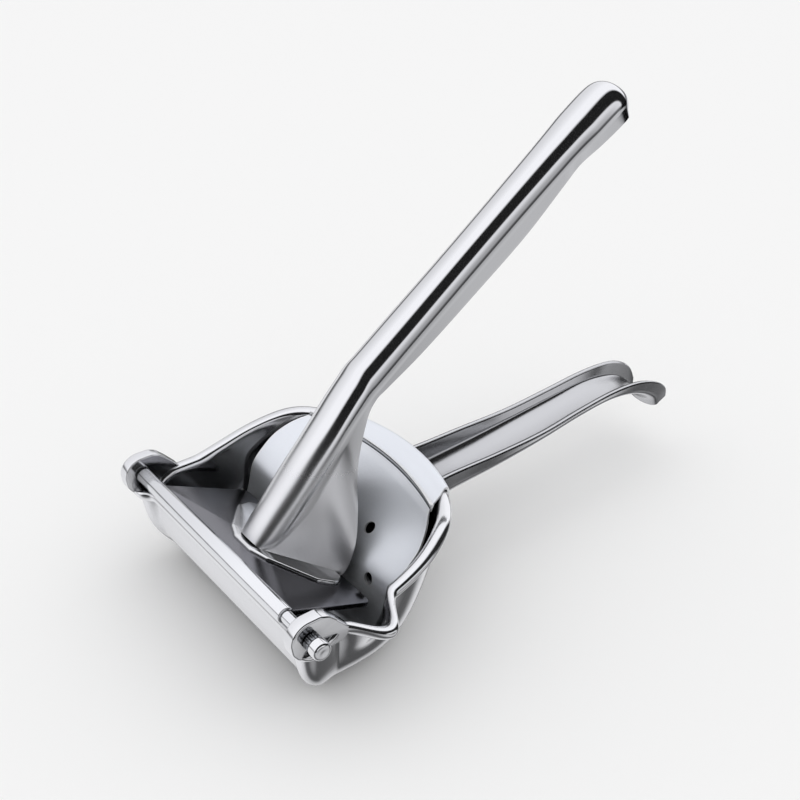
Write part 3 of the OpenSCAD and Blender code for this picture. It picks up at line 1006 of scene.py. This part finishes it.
def behind_card(tree, color, direction, sign):
    """Colour with a black card behind the object; sign is 1 when direction points back
    along the ray, as the floor's does, and -1 when it points ahead."""
    along = [sign * value for value in CAMERA_BACK]
    dot = add_node(tree, "VectorMath", {0: direction, 1: along}, operation="DOT_PRODUCT")
    facing = map_range(tree, dot.outputs["Value"], (-1, 1))
    return mix_colors(tree, color, grey_ramp(tree, facing, BLACK_CARD), blend="MULTIPLY")


def glossy_split(tree, plain, glossy):
    """One shader for reflections and another for everything else."""
    is_glossy = add_node(tree, "LightPath").outputs["Is Glossy Ray"]
    return add_node(tree, "MixShader", {0: is_glossy, 1: plain, 2: glossy}).outputs["Shader"]


def floor_material():
    """Plain pale floor; reflections see its shading as the studio would light it."""
    material = bpy.data.materials.new("studio_floor")
    material.use_nodes = True
    tree = material.node_tree
    tree.nodes.clear()
    pale = add_node(tree, "BsdfPrincipled", {
        "Base Color": (0.93, 0.93, 0.93, 1), "Roughness": 0.8,
    })
    incoming = add_node(tree, "NewGeometry").outputs["Incoming"]
    sideways = add_node(tree, "SeparateXYZ", {"Vector": incoming}).outputs["X"]
    level = grey_ramp(tree, map_range(tree, sideways, (1, -1)), FLOOR_IN_MIRRORS)
    glow = add_node(tree, "Emission", {"Color": behind_card(tree, level, incoming, 1)})
    shader = glossy_split(tree, pale.outputs["BSDF"], glow.outputs["Emission"])
    add_node(tree, "OutputMaterial", {"Surface": shader})
    return material


def build_floor():
    verts = [(0, 0, FLOOR_Z)]
    for a in np.linspace(0, 2 * math.pi, FLOOR_SIDES + 1)[:-1]:
        verts.append((FLOOR_RADIUS * math.cos(a), FLOOR_RADIUS * math.sin(a), FLOOR_Z))
    mesh = bpy.data.meshes.new("studio_floor")
    mesh.from_pydata(verts, [], [
        (0, 1 + k, 1 + (k + 1) % FLOOR_SIDES) for k in range(FLOOR_SIDES)
    ])
    mesh.materials.append(floor_material())
    floor = bpy.data.objects.new("studio_floor", mesh)
    bpy.context.scene.collection.objects.link(floor)


def build_light():
    """Soft white light all round; mirrors see the studio's walls and its dark horizon."""
    world = bpy.data.worlds.new("studio")
    bpy.context.scene.world = world
    world.use_nodes = True
    tree = world.node_tree
    tree.nodes.clear()
    direction = add_node(tree, "TexCoord").outputs["Generated"]
    parts = add_node(tree, "SeparateXYZ", {"Vector": direction}).outputs
    walls = grey_ramp(tree, map_range(tree, parts["X"], (-1, 1)), STUDIO_SIDEWAYS)
    heights = grey_ramp(tree, map_range(tree, parts["Z"], (-1, 1)), STUDIO_HEIGHT)
    studio = mix_colors(tree, walls, heights, blend="MULTIPLY")
    mirror = add_node(tree, "Background", {
        "Color": behind_card(tree, studio, direction, -1), "Strength": MIRROR_STRENGTH,
    })
    soft = add_node(tree, "Background", {"Color": (1, 1, 1, 1), "Strength": 1.0})
    shader = glossy_split(tree, soft.outputs["Background"], mirror.outputs["Background"])
    add_node(tree, "OutputWorld", {"Surface": shader})


# ---------------------------------------------------------------- build
build_basin()
build_ear("ear_right", 1)
build_ear("ear_left", -1)
build_handles()
build_strainer()
build_plate()
build_barrel()
build_pad()
build_rivets()
build_pin()
build_ring()
build_cap()
build_floor()
build_light()
build_camera()

view = bpy.context.scene.view_settings
view.view_transform = "Standard"
view.look = "None"
view.exposure = 0.0
